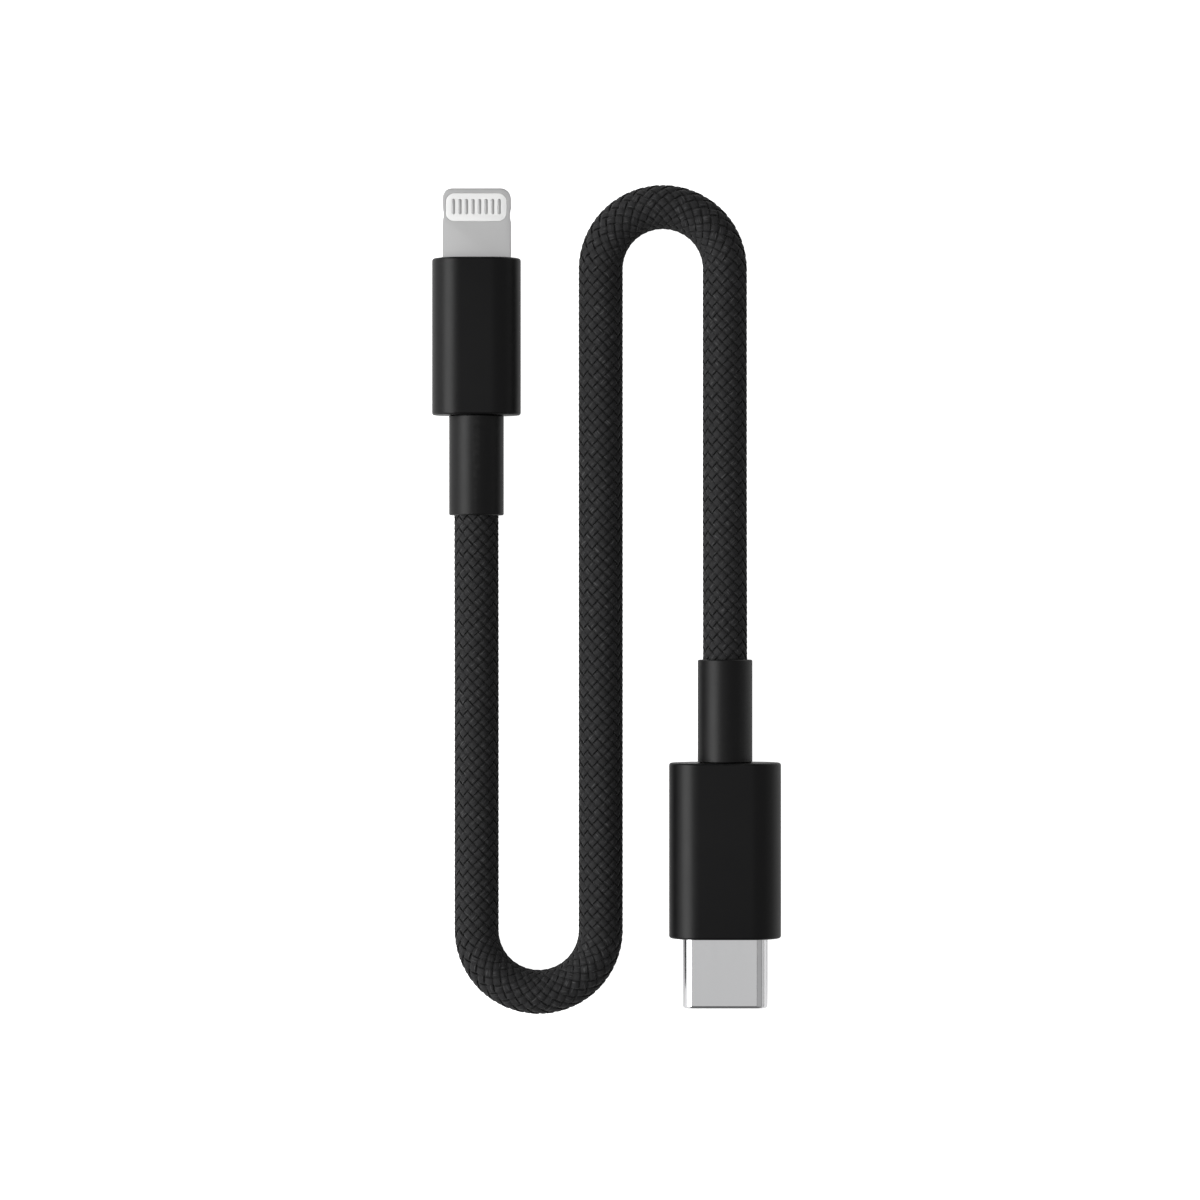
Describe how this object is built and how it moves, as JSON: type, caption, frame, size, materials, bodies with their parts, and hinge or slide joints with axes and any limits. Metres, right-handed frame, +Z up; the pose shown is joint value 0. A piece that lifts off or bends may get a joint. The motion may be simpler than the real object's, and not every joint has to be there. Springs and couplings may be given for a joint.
{
  "type": "charging cable",
  "caption": "Short woven charging cable laid flat in an S, with a flat reversible tab plug on one end and an oval open-mouthed plug on the other.",
  "frame": {"origin": "on the surface the cable lies on, below the middle of the box round the two plugs", "axes": "+Z up from the surface, +Y the way the tab plug points, +X towards the oval plug's side"},
  "size_m": [0.0338, 0.0803, 0.006],
  "materials": {
    "housing": "moulded black plastic, fine matte",
    "sleeve": "moulded black plastic, fine matte",
    "tab_steel": "satin stainless steel",
    "contact_carrier": "white moulded plastic",
    "tab_contact": "plated contact, grey",
    "shell_steel": "drawn stainless steel, satin",
    "insert": "black moulded plastic",
    "gold_contact": "gold-plated spring contact",
    "spring_steel": "spring steel",
    "board": "green circuit board",
    "chip": "black chip package",
    "inner_steel": "plain stamped steel",
    "mould": "natural moulded plastic",
    "wire_red": "red wire insulation",
    "wire_white": "white wire insulation",
    "wire_green": "green wire insulation",
    "wire_black": "black wire insulation",
    "weave": "charcoal black diamond-braided yarn",
    "jacket": "black soft jacket",
    "braid_shield": "foil and wire-braid shield",
    "strength_strand": "yellow strength yarn"
  },
  "bodies": {
    "cord": {"cord_woven_cover": "weave", "cord_jacket": "jacket", "cord_shield": "braid_shield", "cord_strength_strand": "strength_strand", "cord_wire_power": "wire_red", "cord_wire_data_a": "wire_white", "cord_wire_data_b": "wire_green", "cord_wire_ground": "wire_black"},
    "tab_plug": {"tab_housing": "housing", "tab_sleeve": "sleeve", "tab_frame": "tab_steel", "tab_contact_carrier": "contact_carrier", "tab_contact_top_1": "tab_contact", "tab_contact_top_2": "tab_contact", "tab_contact_top_3": "tab_contact", "tab_contact_top_4": "tab_contact", "tab_contact_top_5": "tab_contact", "tab_contact_top_6": "tab_contact", "tab_contact_top_7": "tab_contact", "tab_contact_top_8": "tab_contact", "tab_contact_bottom_1": "tab_contact", "tab_contact_bottom_2": "tab_contact", "tab_contact_bottom_3": "tab_contact", "tab_contact_bottom_4": "tab_contact", "tab_contact_bottom_5": "tab_contact", "tab_contact_bottom_6": "tab_contact", "tab_contact_bottom_7": "tab_contact", "tab_contact_bottom_8": "tab_contact", "tab_board": "board", "tab_control_chip": "chip", "tab_power_chip": "chip", "tab_shield_top": "inner_steel", "tab_shield_bottom": "inner_steel", "tab_wire_mould": "mould", "tab_crimp_ring": "inner_steel", "tab_wire_power": "wire_red", "tab_wire_data_a": "wire_white", "tab_wire_data_b": "wire_green", "tab_wire_ground": "wire_black"},
    "oval_plug": {"oval_housing": "housing", "oval_sleeve": "sleeve", "oval_shell": "shell_steel", "oval_insert": "insert", "oval_mid_plate": "spring_steel", "oval_ground_spring_top": "spring_steel", "oval_ground_spring_bottom": "spring_steel", "oval_board": "board", "oval_control_chip": "chip", "oval_shield_top": "inner_steel", "oval_shield_bottom": "inner_steel", "oval_wire_mould": "mould", "oval_crimp_ring": "inner_steel", "oval_wire_power": "wire_red", "oval_wire_data_a": "wire_white", "oval_wire_data_b": "wire_green", "oval_wire_ground": "wire_black"},
    "oval_latch_left_arm": {"oval_latch_left": "spring_steel"},
    "oval_latch_right_arm": {"oval_latch_right": "spring_steel"},
    "oval_top_contacts": {"oval_contact_row_top": "gold_contact"},
    "oval_bottom_contacts": {"oval_contact_row_bottom": "gold_contact"}
  },
  "joints": [
    {"name": "tab_plug_bend", "type": "hinge", "parent": "cord", "child": "tab_plug", "pos_m": [-0.0126, 0.0031, 0.0029], "axis": [0, 0, 1], "range_deg": [-8, 35], "stiffness_Nm_per_rad": 0.02, "deforming": ["cord_woven_cover", "cord_jacket", "cord_shield", "cord_strength_strand", "cord_wire_power", "cord_wire_data_a", "cord_wire_data_b", "cord_wire_ground"]},
    {"name": "oval_plug_bend", "type": "hinge", "parent": "cord", "child": "oval_plug", "pos_m": [0.01148, -0.00087, 0.003], "axis": [0, 0, 1], "range_deg": [-6, 35], "stiffness_Nm_per_rad": 0.02, "deforming": ["cord_woven_cover", "cord_jacket", "cord_shield", "cord_strength_strand", "cord_wire_power", "cord_wire_data_a", "cord_wire_data_b", "cord_wire_ground"]},
    {"name": "oval_latch_left_spread", "type": "hinge", "parent": "oval_plug", "child": "oval_latch_left_arm", "pos_m": [0.01483, -0.03054, 0.003], "axis": [0, 0, 1], "range_deg": [0, 1.3], "stiffness_Nm_per_rad": 0.005},
    {"name": "oval_latch_right_spread", "type": "hinge", "parent": "oval_plug", "child": "oval_latch_right_arm", "pos_m": [0.00813, -0.03054, 0.003], "axis": [0, 0, -1], "range_deg": [0, 1.3], "stiffness_Nm_per_rad": 0.005},
    {"name": "oval_top_contacts_lift", "type": "hinge", "parent": "oval_plug", "child": "oval_top_contacts", "pos_m": [0.01148, -0.03004, 0.00333], "axis": [-1, 0, 0], "range_deg": [0, 0.8], "stiffness_Nm_per_rad": 0.005},
    {"name": "oval_bottom_contacts_lift", "type": "hinge", "parent": "oval_plug", "child": "oval_bottom_contacts", "pos_m": [0.01148, -0.03004, 0.00267], "axis": [1, 0, 0], "range_deg": [0, 0.8], "stiffness_Nm_per_rad": 0.005}
  ]
}
